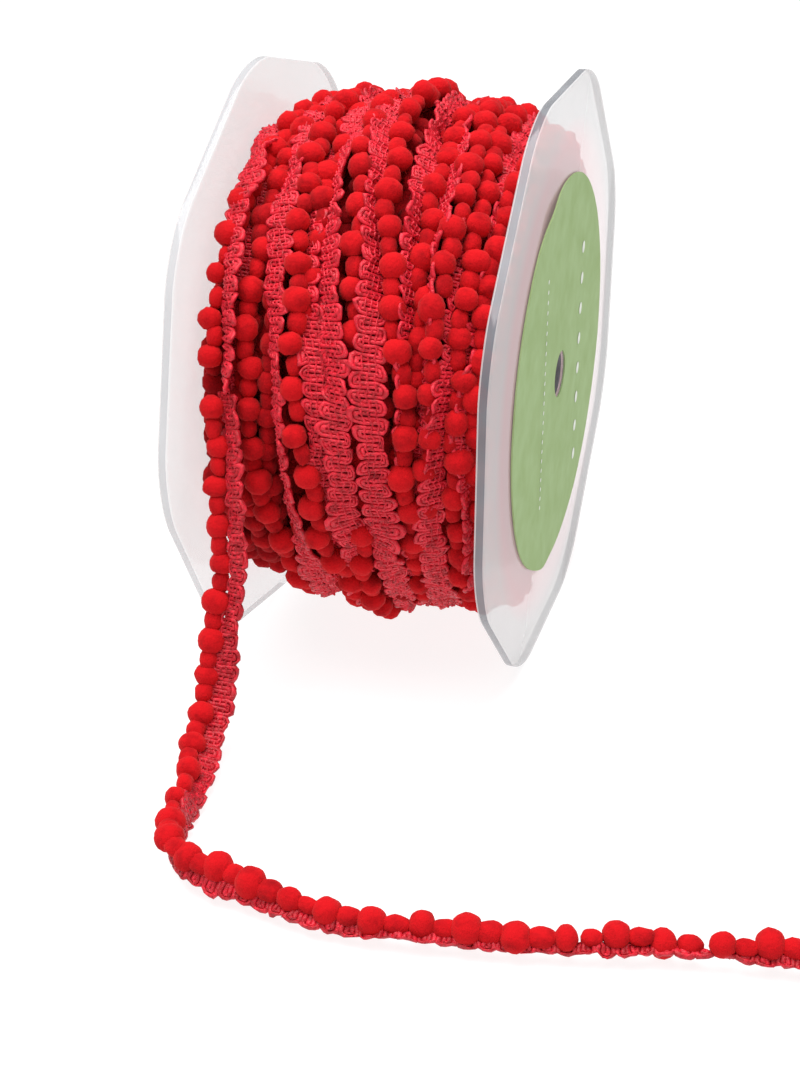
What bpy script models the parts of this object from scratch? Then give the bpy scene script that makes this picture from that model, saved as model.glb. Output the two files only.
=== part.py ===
"""A roll of pompom trim on its clear spool, with the trim's loose end lying on the table.

X runs along the spool's axis towards the labelled flange, Y away from the viewer, Z up. The
origin is on the table, under the middle of the spool. Lengths are in millimetres times MM.
"""
import math
from collections import namedtuple

import bmesh
import bpy
from mathutils import Matrix, Vector

MM = 0.001
GAP = 0.3 * MM                    # between pieces that touch in the real object

# The spool: two eight-sided plates with rounded corners on a core tube.
SPOOL_WIDTH = 58.5 * MM           # over the flanges' outer faces
FLANGE_THICKNESS = 2.0 * MM
FLANGE_SIDES = 8
FLANGE_APOTHEM = 54.6 * MM        # axis to the middle of each straight side
FLANGE_CORNER_RADIUS = 23.0 * MM
FLANGE_CORNER_STEPS = 6
FLANGE_EDGE_ROUND = 0.45 * MM
LEFT_FLANGE_TURN = math.radians(-14.0)   # the left plate is pressed on a little turned
BORE_RADIUS = 4.5 * MM
CORE_RADIUS = 7.0 * MM
ROUND_STEPS = 32
LABEL_RADIUS = 38.0 * MM
LABEL_THICKNESS = 0.4 * MM

# Half of the label's stack is taken off, which puts the origin under the whole roll's middle.
MIDDLE_X = -(GAP + LABEL_THICKNESS) / 2
AXIS_HEIGHT = FLANGE_APOTHEM
INNER_FACE = SPOOL_WIDTH / 2 - FLANGE_THICKNESS

# The trim: a narrow braid with a row of pompoms along one edge.
POMPOM_RADIUS = 2.3 * MM
POMPOM_PITCH = 7.4 * MM
BEAD_RADIUS = 1.1 * MM            # the small velvet beads between the pompoms
BRAID_WIDTH = 2.8 * MM            # what shows of it beside the pompoms on the loose end
BRAID_THICKNESS = 1.1 * MM
BRAID_OFFSET = POMPOM_RADIUS + GAP + BRAID_WIDTH / 2   # braid's middle to the pompoms' line

# The winding: seven turns of pompoms show side by side, 41 pompoms to a turn.
POMPOMS_PER_TURN = 41
STEPS_PER_POMPOM = 3              # two steps carry the pompom, one the bead after it
TURN_STEPS = POMPOMS_PER_TURN * STEPS_PER_POMPOM
FLANK = 1.8 * MM                  # from a pompom's middle line to its flank rows
BEAD_DROP = 1.5 * MM              # how far each row lies under the pompoms' tops
FLANK_DROP = 1.1 * MM
BEAD_FLANK_DROP = 2.6 * MM
BRAID_DROP = 1.3 * MM
END_DROP = 0.8 * MM
BRAID_ROWS = (0.3, 0.7)           # places of the two braid rows between neighbouring turns

# Outer radius over the pompoms, in mm, by place along the spool.
Girth = namedtuple("Girth", "x radius")
GIRTHS = (
    Girth(-27.0, 47.9),
    Girth(-17.5, 49.1),
    Girth(-8.8, 50.6),
    Girth(0.0, 52.3),
    Girth(8.8, 51.0),
    Girth(17.5, 49.1),
    Girth(27.0, 46.2),
)

# Each turn's pompom line along X, in mm, at six places round the roll. Front faces the viewer.
PLACES = {"top": 90, "upper": 45, "front": 0, "lower": -45, "under": -90, "back": -180}
Turn = namedtuple("Turn", list(PLACES))
TURNS = (
    Turn(top=-24.7, upper=-24.7, front=-24.2, lower=-24.0, under=-24.2, back=-24.6),
    Turn(top=-18.2, upper=-17.8, front=-14.2, lower=-12.6, under=-15.5, back=-18.0),
    Turn(top=-12.0, upper=-10.6, front=-6.3, lower=-2.6, under=-6.8, back=-11.0),
    Turn(top=-5.2, upper=-0.4, front=3.2, lower=4.0, under=0.8, back=-3.6),
    Turn(top=2.0, upper=6.2, front=11.6, lower=11.2, under=8.2, back=4.4),
    Turn(top=13.6, upper=15.6, front=16.5, lower=16.4, under=14.8, back=13.2),
    Turn(top=19.4, upper=20.9, front=21.5, lower=21.7, under=21.0, back=20.2),
)
# How far each of those turns stands proud of the girth, in mm, at the same places.
LIFTS = (
    Turn(top=1.2, upper=0.0, front=0.0, lower=0.0, under=0.0, back=0.0),
    Turn(top=0.0, upper=-2.0, front=-1.6, lower=-0.9, under=-1.9, back=-0.4),
    Turn(top=1.0, upper=0.3, front=0.3, lower=-1.2, under=-2.4, back=0.2),
    Turn(top=0.2, upper=-0.6, front=-2.0, lower=-1.2, under=-0.6, back=0.4),
    Turn(top=1.2, upper=0.0, front=-0.9, lower=-2.6, under=-3.2, back=0.0),
    Turn(top=1.4, upper=0.8, front=0.2, lower=-1.0, under=-0.6, back=0.4),
    Turn(top=0.6, upper=-0.4, front=0.3, lower=0.0, under=0.2, back=0.2),
)
# The outermost turn leaves the roll here, and what lies under it shows from there on.
RELEASE_ANGLE = 15.0
RELEASE_DEPTH = 5.4
COVERED_FROM = -130.0             # under this turn again, behind the roll
COVERED_FULLY = -190.0

# The loose end: the pompoms' line in mm, and the direction from the braid to the pompoms.
Station = namedtuple("Station", "x y z side_x side_y side_z")
LOOSE_END = (
    Station(-23.4, -45.8, 62.6, -0.96, 0.28, 0.06),
    Station(-21.6, -49.2, 51.5, -0.96, 0.27, 0.06),
    Station(-20.0, -52.6, 39.5, -0.96, 0.26, 0.08),
    Station(-19.7, -55.4, 28.6, -0.96, 0.24, 0.12),
    Station(-20.2, -58.4, 19.3, -0.95, 0.20, 0.22),
    Station(-20.3, -62.4, 12.0, -0.93, 0.10, 0.35),
    Station(-20.1, -68.0, 7.2, -0.90, 0.00, 0.44),
    Station(-18.8, -75.0, 5.2, -0.86, -0.08, 0.50),
    Station(-16.2, -84.0, 5.0, -0.76, -0.12, 0.64),
    Station(-14.2, -92.4, 5.6, -0.52, -0.10, 0.85),
    Station(-11.8, -98.4, 6.2, -0.20, 0.12, 0.96),
    Station(-6.4, -102.0, 5.8, -0.02, 0.45, 0.89),
    Station(3.7, -103.9, 4.7, 0.00, 0.72, 0.69),
    Station(18.0, -106.2, 4.2, 0.00, 0.82, 0.57),
    Station(33.0, -105.6, 4.1, 0.00, 0.84, 0.54),
    Station(47.0, -103.4, 4.2, 0.00, 0.82, 0.57),
    Station(62.3, -99.4, 4.3, 0.00, 0.80, 0.60),
    Station(77.9, -96.4, 4.3, 0.00, 0.80, 0.60),
    Station(92.0, -94.6, 4.3, 0.00, 0.80, 0.60),
    Station(106.0, -93.4, 4.3, 0.00, 0.80, 0.60),
)
LOOSE_POMPOM_SIDES = 6
LOOSE_SPACING = POMPOM_PITCH / STEPS_PER_POMPOM
BRAID_STEP = 2                    # the braid needs only every other section


def clear_scene():
    """Remove whatever the file held, and add the collection for the roll's pieces."""
    for old in list(bpy.data.objects):
        bpy.data.objects.remove(old, do_unlink=True)
    for name in ("pompom_trim_roll", "cutters"):
        group = bpy.data.collections.new(name)
        bpy.context.scene.collection.children.link(group)


def make_material(name, colour, roughness, transmission=0.0):
    """A Principled material in the piece's own colour."""
    material = bpy.data.materials.new(name)
    material.use_nodes = True
    shader = material.node_tree.nodes["Principled BSDF"]
    shader.inputs["Base Color"].default_value = (*colour, 1.0)
    shader.inputs["Roughness"].default_value = roughness
    shader.inputs["Metallic"].default_value = 0.0
    shader.inputs["Transmission Weight"].default_value = transmission
    return material


def add_object(name, bm, material, group="pompom_trim_roll"):
    """Turn a bmesh into a named object in its collection."""
    bmesh.ops.recalc_face_normals(bm, faces=bm.faces)
    mesh = bpy.data.meshes.new(name)
    bm.to_mesh(mesh)
    bm.free()
    mesh.shade_smooth()
    mesh.set_sharp_from_angle(angle=math.radians(35.0))
    piece = bpy.data.objects.new(name, mesh)
    bpy.data.collections[group].objects.link(piece)
    if material is not None:
        mesh.materials.append(material)
    return piece


def bore_cutter():
    """The cylinder that cuts the spindle hole through flanges, core and label."""
    bm = bmesh.new()
    bmesh.ops.create_cone(bm, cap_ends=True, segments=ROUND_STEPS, radius1=BORE_RADIUS,
                          radius2=BORE_RADIUS, depth=SPOOL_WIDTH * 1.5,
                          matrix=along_axis(MIDDLE_X))
    cutter = add_object("bore_cutter", bm, None, group="cutters")
    cutter.hide_render = True
    cutter.display_type = "WIRE"
    return cutter


def along_axis(x, turn=0.0):
    """The place of a disc or tube centred on the spool's axis at x, facing along it."""
    place = Matrix.Translation((x, 0.0, AXIS_HEIGHT))
    return place @ Matrix.Rotation(math.pi / 2, 4, "Y") @ Matrix.Rotation(turn, 4, "Z")


def cut_bore(piece, cutter):
    """Cut the spindle hole out of a piece."""
    hole = piece.modifiers.new("bore", "BOOLEAN")
    hole.operation = "DIFFERENCE"
    hole.solver = "EXACT"
    hole.object = cutter


def make_flange(name, x, turn, material, cutter):
    """One clear plate: an octagon with rounded corners, cut flat where it meets the table."""
    bm = bmesh.new()
    half_side = math.pi / FLANGE_SIDES
    bmesh.ops.create_circle(bm, cap_ends=True, segments=FLANGE_SIDES,
                            radius=FLANGE_APOTHEM / math.cos(half_side),
                            matrix=Matrix.Rotation(half_side, 4, "Z"))
    bmesh.ops.bevel(bm, geom=bm.verts[:], affect="VERTICES", profile=0.5, material=-1,
                    offset=FLANGE_CORNER_RADIUS * math.tan(half_side),
                    segments=FLANGE_CORNER_STEPS)
    grown = bmesh.ops.extrude_face_region(bm, geom=bm.faces[:])["geom"]
    raised = [part for part in grown if isinstance(part, bmesh.types.BMVert)]
    bmesh.ops.translate(bm, verts=raised, vec=(0.0, 0.0, FLANGE_THICKNESS))
    bmesh.ops.transform(bm, verts=bm.verts, matrix=along_axis(x, turn))
    kept = bm.verts[:] + bm.edges[:] + bm.faces[:]
    cut = bmesh.ops.bisect_plane(bm, geom=kept, plane_co=(0.0, 0.0, 0.0),
                                 plane_no=(0.0, 0.0, -1.0), clear_outer=True)["geom_cut"]
    rim = [part for part in cut if isinstance(part, bmesh.types.BMEdge) and part.is_boundary]
    if rim:
        bmesh.ops.contextual_create(bm, geom=rim)
    flange = add_object(name, bm, material)
    cut_bore(flange, cutter)
    rounding = flange.modifiers.new("rounded edges", "BEVEL")
    rounding.width = FLANGE_EDGE_ROUND
    rounding.segments = 2
    rounding.limit_method = "ANGLE"
    rounding.angle_limit = math.radians(40.0)
    return flange


def make_disc(name, radius, x_low, x_high, material, cutter):
    """A round disc or tube on the axis between two places, with the spindle hole."""
    bm = bmesh.new()
    bmesh.ops.create_cone(bm, cap_ends=True, segments=2 * ROUND_STEPS, radius1=radius,
                          radius2=radius, depth=x_high - x_low,
                          matrix=along_axis((x_low + x_high) / 2))
    piece = add_object(name, bm, material)
    cut_bore(piece, cutter)
    return piece


def girth_at(x):
    """Outer radius of the roll over its pompoms at a place along the spool."""
    spot = x / MM
    for low, high in zip(GIRTHS, GIRTHS[1:]):
        if spot <= high.x:
            break
    share = min(1.0, max(0.0, (spot - low.x) / (high.x - low.x)))
    ease = (1.0 - math.cos(math.pi * share)) / 2
    return (low.radius + (high.radius - low.radius) * ease) * MM


def round_the_roll(row, angle):
    """Ease between a turn's named places, for an angle in degrees, and return metres."""
    angle = (angle - PLACES["top"]) % -360.0 + PLACES["top"]
    stops = list(PLACES.values()) + [PLACES["top"] - 360.0]
    values = list(row) + [row.top]
    for here, there, start, end in zip(stops, stops[1:], values, values[1:]):
        if angle >= there:
            break
    ease = (1.0 - math.cos(math.pi * (here - angle) / (here - there))) / 2
    return (start + (end - start) * ease) * MM


def release(angle):
    """How deep the roll lies, in metres, where the outermost turn has left it."""
    angle = (angle - PLACES["top"]) % -360.0 + PLACES["top"]
    if angle > RELEASE_ANGLE or angle < COVERED_FULLY:
        return 0.0
    if angle > COVERED_FROM:
        return RELEASE_DEPTH * MM
    share = (angle - COVERED_FULLY) / (COVERED_FROM - COVERED_FULLY)
    return RELEASE_DEPTH * MM * share


def winding_section(step):
    """The roll's outline at one step round it: each row's place along X and its radius."""
    angle = 360.0 * step / TURN_STEPS
    face = INNER_FACE - GAP
    lines = [round_the_roll(turn, angle) for turn in TURNS]
    lifts = [round_the_roll(lift, angle) for lift in LIFTS]
    lifts[0] -= release(angle)
    rows = [(-face, girth_at(-face) + lifts[0] - END_DROP)]
    for number, (line, lift) in enumerate(zip(lines, lifts)):
        top = girth_at(line) + lift
        on_bead = (step + number) % STEPS_PER_POMPOM == STEPS_PER_POMPOM - 1
        flank = top - (BEAD_FLANK_DROP if on_bead else FLANK_DROP)
        rows.append((line - FLANK, flank))
        rows.append((line, top - (BEAD_DROP if on_bead else 0.0)))
        rows.append((line + FLANK, flank))
        last = number == len(lines) - 1
        next_line = face + FLANK if last else lines[number + 1]
        next_lift = lift if last else lifts[number + 1]
        start, end = line + FLANK, next_line - FLANK
        for share in BRAID_ROWS:
            x = start + (end - start) * share
            sunk = lift + (next_lift - lift) * share
            rows.append((x, girth_at(x) + sunk - BRAID_DROP))
    rows.append((face, girth_at(face) + lifts[-1] - END_DROP))
    return angle, rows


def make_wound_trim(material):
    """The winding: a ring spun round the core, its rows then set to pompoms and braids."""
    row_count = len(winding_section(0)[1])
    bm = bmesh.new()
    inner = CORE_RADIUS + GAP
    spots = [(row * MM, FLANGE_APOTHEM / 2) for row in range(row_count)]
    spots += [((row_count - 1) * MM, inner), (0.0, inner)]
    ring = [bm.verts.new((x, -radius, 0.0)) for x, radius in spots]
    edges = [bm.edges.new((a, b)) for a, b in zip(ring, ring[1:] + ring[:1])]
    bmesh.ops.spin(bm, geom=ring + edges, cent=(0.0, 0.0, 0.0), axis=(1.0, 0.0, 0.0),
                   angle=2 * math.pi, steps=TURN_STEPS, use_merge=True)
    sections = [winding_section(step) for step in range(TURN_STEPS)]
    for vert in bm.verts:
        turned = math.degrees(math.atan2(vert.co.z, -vert.co.y))
        step = round(turned * TURN_STEPS / 360.0) % TURN_STEPS
        angle, rows = sections[step]
        row = round(vert.co.x / MM)
        if math.hypot(vert.co.y, vert.co.z) > (inner + spots[0][1]) / 2:
            x, radius = rows[row]
        else:
            x, radius = rows[row][0], inner
        turned = math.radians(angle)
        out, up = radius * math.cos(turned), radius * math.sin(turned)
        vert.co = (MIDDLE_X + x, -out, AXIS_HEIGHT + up)
    return add_object("wound_trim", bm, material)


def smooth_route(points, spacing):
    """Even steps along a smooth curve; a point holds its place and then its side direction."""
    ends = [points[0] * 2 - points[1]] + points + [points[-1] * 2 - points[-2]]
    fine = []
    for before, start, end, after in zip(ends, ends[1:], ends[2:], ends[3:]):
        for part in range(20):
            t = part / 20
            fine.append((start * 2 + (end - before) * t
                         + (before * 2 - start * 5 + end * 4 - after) * t ** 2
                         + (start * 3 - before - end * 3 + after) * t ** 3) / 2)
    fine.append(points[-1])
    route, left = [fine[0]], spacing
    for here, there in zip(fine, fine[1:]):
        length = Vector((there - here)[:3]).length
        while left <= length:
            route.append(here.lerp(there, left / length))
            left += spacing
        left -= length
    return route


def loose_frames():
    """Place, side and face directions of the loose trim at each step along it."""
    points = [Vector(station[:3]) * MM for station in LOOSE_END]
    sides = [Vector(station[3:]) for station in LOOSE_END]
    joined = [Vector((*point, *side)) for point, side in zip(points, sides)]
    frames = []
    route = smooth_route(joined, LOOSE_SPACING)
    for number, spot in enumerate(route):
        place = Vector(spot[:3])
        ahead = Vector(route[min(number + 1, len(route) - 1)][:3])
        behind = Vector(route[max(number - 1, 0)][:3])
        along = (ahead - behind).normalized()
        side = Vector(spot[3:])
        side = (side - along * side.dot(along)).normalized()
        frames.append((place, side, along.cross(side)))
    return frames


def loft(name, rings, material):
    """A closed solid through a row of rings, with flat ends."""
    bm = bmesh.new()
    loops = [[bm.verts.new(spot) for spot in ring] for ring in rings]
    for ring, following in zip(loops, loops[1:]):
        for a in range(len(ring)):
            b = (a + 1) % len(ring)
            bm.faces.new((ring[a], ring[b], following[b], following[a]))
    bm.faces.new(loops[0])
    bm.faces.new(loops[-1])
    return add_object(name, bm, material)


def make_loose_end(braid_material, pompom_material):
    """The loose end: its braid strip, and the pompoms on the core that runs beside it."""
    frames = loose_frames()
    strips = []
    for place, side, face in frames[::BRAID_STEP]:
        middle = place - side * BRAID_OFFSET
        across = side * BRAID_WIDTH / 2
        through = face * BRAID_THICKNESS / 2
        strips.append([middle - across - through, middle + across - through,
                       middle + across + through, middle - across + through])
    loft("loose_end_braid", strips, braid_material)
    beads = []
    for number, (place, side, face) in enumerate(frames):
        on_bead = number % STEPS_PER_POMPOM == 0
        radius = BEAD_RADIUS if on_bead else POMPOM_RADIUS
        turns = [2 * math.pi * (part + 0.5) / LOOSE_POMPOM_SIDES
                 for part in range(LOOSE_POMPOM_SIDES)]
        beads.append([place + (side * math.sin(turn) + face * math.cos(turn)) * radius
                      for turn in turns])
    loft("loose_end_pompoms", beads, pompom_material)


def build():
    """Make every piece of the roll."""
    clear_scene()
    clear_plastic = make_material("clear plastic", (0.86, 0.85, 0.86), 0.12, 0.85)
    core_plastic = make_material("grey plastic", (0.30, 0.29, 0.30), 0.4)
    paper = make_material("green paper", (0.35, 0.48, 0.21), 0.75)
    velvet = make_material("red velvet pompoms", (0.74, 0.012, 0.022), 0.9)
    yarn = make_material("rose red braid", (0.72, 0.035, 0.07), 0.5)
    cutter = bore_cutter()
    outer_face = SPOOL_WIDTH / 2
    face = INNER_FACE - GAP
    make_flange("flange_left", MIDDLE_X - outer_face, LEFT_FLANGE_TURN, clear_plastic, cutter)
    make_flange("flange_right", MIDDLE_X + INNER_FACE, 0.0, clear_plastic, cutter)
    make_disc("core", CORE_RADIUS, MIDDLE_X - face, MIDDLE_X + face, core_plastic, cutter)
    label_x = MIDDLE_X + outer_face + GAP
    make_disc("label", LABEL_RADIUS, label_x, label_x + LABEL_THICKNESS, paper, cutter)
    make_wound_trim(velvet)
    make_loose_end(yarn, velvet)


build()
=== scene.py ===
"""The looks of a roll of pompom trim: its velvet pompoms, looped braid, clear spool and label."""

import math
from collections import namedtuple

import bmesh
import bpy
import numpy as np
from mathutils import Matrix, Vector, noise


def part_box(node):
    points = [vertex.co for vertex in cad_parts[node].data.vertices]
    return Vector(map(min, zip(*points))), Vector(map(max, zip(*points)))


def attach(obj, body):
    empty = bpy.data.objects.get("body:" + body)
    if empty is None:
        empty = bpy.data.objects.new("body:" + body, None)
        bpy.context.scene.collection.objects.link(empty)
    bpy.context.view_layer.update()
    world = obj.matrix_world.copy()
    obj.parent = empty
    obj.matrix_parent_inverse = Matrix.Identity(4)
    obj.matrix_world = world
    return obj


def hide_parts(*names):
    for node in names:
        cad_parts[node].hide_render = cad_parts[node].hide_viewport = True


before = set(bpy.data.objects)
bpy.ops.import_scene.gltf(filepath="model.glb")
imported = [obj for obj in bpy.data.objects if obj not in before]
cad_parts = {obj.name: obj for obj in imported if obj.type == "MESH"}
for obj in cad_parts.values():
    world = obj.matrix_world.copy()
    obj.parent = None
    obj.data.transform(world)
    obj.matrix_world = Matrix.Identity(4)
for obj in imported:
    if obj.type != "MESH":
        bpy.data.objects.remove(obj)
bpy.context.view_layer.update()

# The viewpoint: a photographer's camera in front of the roll and well above the table, to the
# right of the roll's middle, so that both the winding and the labelled flange show.
MM = 0.001
CAMERA_PLACE = Vector((92.9, -316.0, 183.8)) * MM
CAMERA_YAW = math.radians(16.8)
CAMERA_PITCH = math.radians(27.3)         # downwards
CAMERA_ROLL = math.radians(0.2)
FOCAL_LENGTH_PIXELS = 1800.0              # on a photograph 1085 pixels high
PHOTO_HEIGHT = 1085.0
SENSOR = 36.0                             # mm

lens = bpy.data.cameras.new("camera")
lens.sensor_width = SENSOR
lens.lens = FOCAL_LENGTH_PIXELS / PHOTO_HEIGHT * SENSOR
lens.clip_start = 0.01
camera = bpy.data.objects.new("camera", lens)
camera.matrix_world = (Matrix.Translation(CAMERA_PLACE)
                       @ Matrix.Rotation(CAMERA_YAW, 4, "Z")
                       @ Matrix.Rotation(math.pi / 2 - CAMERA_PITCH, 4, "X")
                       @ Matrix.Rotation(CAMERA_ROLL, 4, "Z"))
bpy.context.scene.collection.objects.link(camera)
bpy.context.scene.camera = camera

# The table: a sheet of white studio board, far larger than the view, without a mark on it. It
# is lit from below as well as from above, so the roll's shadow on it stays faint.
FLOOR_SIZE = 8.0                          # metres
FLOOR_TONE = (0.25, 0.25, 0.25)           # what it returns of the light that falls on it
FLOOR_GLOW = 0.86                         # most of its white comes from below
FLOOR_MOTTLE = 0.985                      # its darkest patches, against its lightest
FLOOR_PATCHES = 3.0                       # to the metre


def new_material(name, colour, roughness):
    """A Principled material with its nodes, its links and its shader."""
    material = bpy.data.materials.new(name)
    material.use_nodes = True
    nodes, links = material.node_tree.nodes, material.node_tree.links
    shader = nodes["Principled BSDF"]
    shader.inputs["Base Color"].default_value = (*colour, 1.0)
    shader.inputs["Roughness"].default_value = roughness
    return material, nodes, links, shader


def add_piece(name, bm, *materials):
    """Turn a bmesh into a named piece, shaded smooth, its place in its mesh."""
    mesh = bpy.data.meshes.new(name)
    bm.to_mesh(mesh)
    bm.free()
    mesh.shade_smooth()
    piece = bpy.data.objects.new(name, mesh)
    bpy.context.scene.collection.objects.link(piece)
    for material in materials:
        mesh.materials.append(material)
    return piece


floor_material, nodes, links, shader = new_material("white_board", FLOOR_TONE, 0.8)
texture = nodes.new("ShaderNodeTexNoise")
texture.inputs["Scale"].default_value = FLOOR_PATCHES
place = nodes.new("ShaderNodeTexCoord")
links.new(place.outputs["Object"], texture.inputs["Vector"])
tint = nodes.new("ShaderNodeValToRGB")
tint.color_ramp.elements[0].color = (*(FLOOR_MOTTLE * part for part in FLOOR_TONE), 1.0)
tint.color_ramp.elements[1].color = (*FLOOR_TONE, 1.0)
links.new(texture.outputs["Fac"], tint.inputs["Fac"])
links.new(tint.outputs["Color"], shader.inputs["Base Color"])
shader.inputs["Emission Color"].default_value = (1.0, 1.0, 1.0, 1.0)
shader.inputs["Emission Strength"].default_value = FLOOR_GLOW
bm = bmesh.new()
bmesh.ops.create_grid(bm, x_segments=1, y_segments=1, size=FLOOR_SIZE / 2)
floor = add_piece("floor", bm, floor_material)

# The light: a white tent all round, a large soft box over the front of the roll, which makes
# the roll's top its brightest part, and a weak one at the right, for the labelled plate.
TENT_STRENGTH = 0.31
Lamp = namedtuple("Lamp", "name place aim size power")      # metres and watts
LAMPS = (
    Lamp("soft_box_above", (-0.12, -0.12, 1.0), (0.0, 0.0, 0.06), 0.9, 16.5),
    Lamp("soft_box_right", (0.85, -0.45, 0.45), (0.0, 0.0, 0.05), 0.5, 0.6),
)

world = bpy.data.worlds.new("tent")
bpy.context.scene.world = world
bpy.context.scene.view_settings.view_transform = "Standard"   # so the reds keep their depth
world.use_nodes = True
world.node_tree.nodes["Background"].inputs["Color"].default_value = (1.0, 1.0, 1.0, 1.0)
world.node_tree.nodes["Background"].inputs["Strength"].default_value = TENT_STRENGTH
for lamp in LAMPS:
    light = bpy.data.lights.new(lamp.name, "AREA")
    light.shape = "SQUARE"
    light.size = lamp.size
    light.energy = lamp.power
    holder = bpy.data.objects.new(lamp.name, light)
    holder.location = lamp.place
    aim = Vector(lamp.aim) - Vector(lamp.place)
    holder.rotation_euler = aim.to_track_quat("-Z", "Y").to_euler()
    bpy.context.scene.collection.objects.link(holder)

# The trim's loose end: it drops from the front of the roll, meets the table, turns on its
# braid edge and runs off to the right, leaning back, to a plain cut end. The trim is a looped
# braid of shiny yarn with velvet pompoms along one edge, a small bead between each two.
AXIS_HEIGHT = 54.6 * MM
MIDDLE_X = -0.35 * MM                     # the spool's middle
POMPOM_RADIUS = 2.4 * MM
POMPOM_PITCH = 7.4 * MM
POMPOM_LENGTH_SHARE = 0.97                # along the trim, against across it
LUMP_SEED = 7                             # the pile's lumps are the same each run
POMPOM_SIZES = 0.065                      # spread of the pompoms' sizes, as a share
POMPOM_SQUEEZES = 0.08                    # and of how far each is squeezed out of round
POMPOM_DRIFT = 0.16                       # off its line, as a share of its radius
POMPOM_TONES = 0.05                       # spread of their shades
LOOSE_POMPOM_PAINTED_LIGHT = 0.12                 # painted light: the loose end and last turn, in full light
BEAD_RADIUS = 1.66 * MM
BEAD_LENGTH_SHARE = 1.4
BEAD_PAINTED_SHADE = 0.08                         # painted shade: they lie deeper, so are painted darker
PILE_UNEVENNESS = 0.22 * MM               # of the clipped pile, in shape
PILE_PATCH = 1.4 * MM                     # how wide its bumps are
FIBRE_HEIGHT = 0.25 * MM                  # of the finer relief in the materials
BRAID_HALF = 3.0 * MM                     # from its middle to the tips of its loops
LOOP_PITCH = 3.0 * MM                     # five loops on each edge for every two pompoms
STRAND_RADIUS = 0.37 * MM                 # the weft is two strands side by side
STRAND_APART = 0.33 * MM                  # from the weft's middle
WEFT_STEPS = 16                           # places along the yarn in one loop there and back
WEFT_SQUARE = 1.5                         # how blunt the loops are
WEFT_SLANT = -0.125                       # how far the loops are pinched at their necks
CHAIN_RADIUS = 0.21 * MM
CHAIN_ROWS = (-1.15 * MM, 0.0, 1.15 * MM)
CHAIN_STEPS = 4                           # places along a chain in one loop there and back
CHAIN_OVER = 0.48 * MM                    # height of a chain's thread over the weft
CHAIN_UNDER = -0.04 * MM
CHAIN_SWAY = 0.16 * MM                    # to either side of its row
LOOP_NECK = 1.4 * MM                      # outside this the loops are free to stray
LOOP_STRAY = 0.50 * MM
WANDER_LENGTH = 8.0 * MM                  # between places where the braid leans another way
WANDER_LEAN = math.radians(20.0)
WANDER_SHIFT = 0.35 * MM
WANDER_WIDTH = 0.10                       # as a share of its width
KNOT_LENGTH = 0.9 * MM                    # between the small lumps in the yarn
KNOT_HEIGHT = 0.18 * MM
LOOSE_PLUMPNESS = 1.28                    # its yarn is bunched up where the braid is drawn in
VELVET_RED = (0.58, 0.005, 0.009)
VELVET_DEEP_RED = (0.30, 0.002, 0.005)
YARN_RED = (0.78, 0.014, 0.036)
YARN_DEEP_RED = (0.42, 0.004, 0.012)
LOOSE_STEP = 1.0 * MM
CURVE_PARTS = 20                          # short steps between two stations of its route
LOOSE_BRAID_PAINTED_SHADE = -0.09                       # painted shade: the loose braid is painted deeper red

# The pompoms' line in mm, and the direction from the braid to the pompoms, from the roll on.
Station = namedtuple("Station", "x y z side_x side_y side_z")
LOOSE_END = (
    Station(-23.4, -45.8, 62.6, -0.96, 0.28, 0.06),
    Station(-21.6, -49.2, 51.5, -0.96, 0.27, 0.06),
    Station(-20.0, -52.6, 39.5, -0.96, 0.26, 0.08),
    Station(-19.7, -55.4, 28.6, -0.96, 0.24, 0.12),
    Station(-20.2, -58.4, 19.3, -0.95, 0.20, 0.22),
    Station(-20.3, -62.4, 12.0, -0.93, 0.10, 0.35),
    Station(-20.1, -68.0, 7.2, -0.90, 0.00, 0.44),
    Station(-18.8, -75.0, 5.2, -0.86, -0.08, 0.50),
    Station(-16.2, -84.0, 5.0, -0.76, -0.12, 0.64),
    Station(-14.2, -92.4, 5.6, -0.52, -0.10, 0.85),
    Station(-11.8, -98.4, 6.2, -0.20, 0.12, 0.96),
    Station(-6.4, -102.0, 5.8, -0.02, 0.45, 0.89),
    Station(3.7, -103.9, 4.7, 0.00, 0.72, 0.69),
    Station(18.0, -106.2, 4.2, 0.00, 0.82, 0.57),
    Station(33.0, -105.6, 4.1, 0.00, 0.84, 0.54),
    Station(47.0, -103.4, 4.2, 0.00, 0.82, 0.57),
    Station(62.3, -99.4, 4.3, 0.00, 0.80, 0.60),
    Station(77.9, -96.4, 4.3, 0.00, 0.80, 0.60),
    Station(92.0, -94.6, 4.3, 0.00, 0.80, 0.60),
    Station(106.0, -93.4, 4.3, 0.00, 0.80, 0.60),
)
# How far the braid keeps its full width at those stations; a pull on it draws it in.
LOOSE_WIDTHS = (0.68, 0.68, 0.68, 0.68, 0.75, 0.90, 1.02, 1.02, 0.92, 0.78,
                0.68, 0.60, 0.52, 0.42, 0.36, 0.34, 0.34, 0.36, 0.36, 0.36)
# How far its near edge lies from the pompoms' line there, in mm.
LOOSE_NEAR_EDGES = (1.9, 1.9, 1.8, 1.5, 0.9, 0.5, 0.3, 0.3, 0.3, 0.3,
                    0.3, 0.3, 0.3, 0.3, 0.3, 0.3, 0.3, 0.3, 0.3, 0.3)
# Where its pompoms sit, in mm along it; round the bend they bunch up.
LOOSE_POMPOMS = (2.5, 9.8, 16.5, 23.2, 30.4, 37.4, 44.6, 51.6, 57.8, 64.4, 71.4, 80.0, 87.6,
                 93.0, 98.2, 103.6, 110.3, 117.6, 124.6, 131.7, 139.6, 146.9, 153.9, 162.0,
                 169.7, 177.2, 185.2, 192.4, 199.8, 207.2)


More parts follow.
